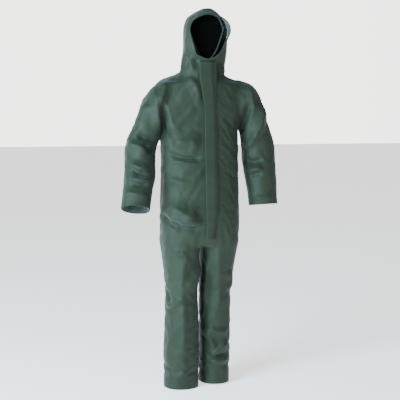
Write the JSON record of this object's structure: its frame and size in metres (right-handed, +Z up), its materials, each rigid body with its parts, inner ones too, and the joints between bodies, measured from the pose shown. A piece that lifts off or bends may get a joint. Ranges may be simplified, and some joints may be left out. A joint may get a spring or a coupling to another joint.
{
  "type": "beekeeping suit",
  "caption": "One-piece hooded coverall of coated cloth with a netted face opening, storm flap over a front zip, open cuffs and straight legs.",
  "frame": {"origin": "centre of the suit's bounding box in plan, on the ground under the leg hems", "axes": "+Z up; the front faces -Y; +X is the wearer's left"},
  "size_m": [0.7941, 0.3034, 1.829],
  "materials": {
    "coated_cloth": "dark green polyurethane-coated cloth, soft sheen",
    "lining": "matt knitted backing",
    "netting": "fine black mesh",
    "webbing": "woven tape, matt",
    "nylon": "moulded nylon teeth",
    "metal": "dull antique nickel"
  },
  "bodies": {
    "torso": {"front_right_panel": "coated_cloth", "front_left_panel": "coated_cloth", "back_panel": "coated_cloth", "back_yoke": "coated_cloth", "trouser_front_right": "coated_cloth", "trouser_front_left": "coated_cloth", "trouser_back_right": "coated_cloth", "trouser_back_left": "coated_cloth", "crotch_gusset": "coated_cloth", "waist_elastic": "lining", "hanger_loop": "webbing", "zip_guard": "coated_cloth", "zip_tape_right": "webbing", "zip_tape_left": "webbing", "zip_teeth_right": "nylon", "zip_teeth_left": "nylon", "zip_top_stop_right": "metal", "zip_top_stop_left": "metal", "zip_bottom_stop": "metal", "stud_post_1": "metal", "stud_post_2": "metal", "stud_post_3": "metal", "stud_post_4": "metal", "stud_post_5": "metal", "stud_post_6": "metal"},
    "flap": {"storm_flap": "coated_cloth", "stud_socket_1": "metal", "stud_socket_2": "metal", "stud_socket_3": "metal", "stud_socket_4": "metal", "stud_socket_5": "metal", "stud_socket_6": "metal"},
    "slider": {"zip_slider": "metal"},
    "pull": {"zip_pull": "metal"},
    "hood": {"hood_right": "coated_cloth", "hood_left": "coated_cloth", "hood_rim": "coated_cloth", "veil_netting": "netting", "veil_binding": "webbing"},
    "right_upper_arm": {"right_upper_sleeve": "coated_cloth"},
    "right_forearm": {"right_forearm_sleeve": "coated_cloth", "right_cuff": "coated_cloth"},
    "right_upper_leg": {"right_thigh": "coated_cloth"},
    "right_lower_leg": {"right_shin": "coated_cloth", "right_leg_hem": "coated_cloth"},
    "left_upper_arm": {"left_upper_sleeve": "coated_cloth"},
    "left_forearm": {"left_forearm_sleeve": "coated_cloth", "left_cuff": "coated_cloth"},
    "left_upper_leg": {"left_thigh": "coated_cloth"},
    "left_lower_leg": {"left_shin": "coated_cloth", "left_leg_hem": "coated_cloth"}
  },
  "joints": [
    {"name": "hood_fold", "type": "hinge", "parent": "torso", "child": "hood", "pos_m": [0.0123, 0.0702, 1.541], "axis": [-1, 0, 0], "range_deg": [0, 80]},
    {"name": "flap_open", "type": "hinge", "parent": "torso", "child": "flap", "pos_m": [0.0663, -0.1082, 1.1566], "axis": [0, 0.0683, 0.9977], "range_deg": [0, 165]},
    {"name": "zip_slide", "type": "slide", "parent": "torso", "child": "slider", "axis": [0, -0.0683, -0.9977], "range_m": [0, 0.68]},
    {"name": "pull_swing", "type": "hinge", "parent": "slider", "child": "pull", "pos_m": [0.0313, -0.0808, 1.47658], "axis": [0, -0.9977, 0.0683], "range_deg": [-18, 18]},
    {"name": "right_shoulder", "type": "hinge", "parent": "torso", "child": "right_upper_arm", "pos_m": [-0.1927, 0.0217, 1.398], "axis": [-1, 0, 0], "range_deg": [-20, 80]},
    {"name": "left_shoulder", "type": "hinge", "parent": "torso", "child": "left_upper_arm", "pos_m": [0.2073, 0.0217, 1.398], "axis": [-1, 0, 0], "range_deg": [-20, 80]},
    {"name": "right_elbow", "type": "hinge", "parent": "right_upper_arm", "child": "right_forearm", "pos_m": [-0.2878, -0.0538, 1.1646], "axis": [-0.944, 0, 0.33], "range_deg": [0, 90]},
    {"name": "left_elbow", "type": "hinge", "parent": "left_upper_arm", "child": "left_forearm", "pos_m": [0.3144, -0.0458, 1.1646], "axis": [-0.944, 0, -0.33], "range_deg": [0, 90]},
    {"name": "right_hip", "type": "hinge", "parent": "torso", "child": "right_upper_leg", "pos_m": [-0.0902, -0.1018, 0.7219], "axis": [-1, 0, 0], "range_deg": [0, 60]},
    {"name": "left_hip", "type": "hinge", "parent": "torso", "child": "left_upper_leg", "pos_m": [0.1048, -0.1018, 0.7219], "axis": [-1, 0, 0], "range_deg": [0, 60]},
    {"name": "right_knee", "type": "hinge", "parent": "right_upper_leg", "child": "right_lower_leg", "pos_m": [-0.0907, 0.1021, 0.47], "axis": [1, 0, 0], "range_deg": [0, 90]},
    {"name": "left_knee", "type": "hinge", "parent": "left_upper_leg", "child": "left_lower_leg", "pos_m": [0.0933, 0.1321, 0.47], "axis": [1, 0, 0], "range_deg": [0, 90]}
  ]
}
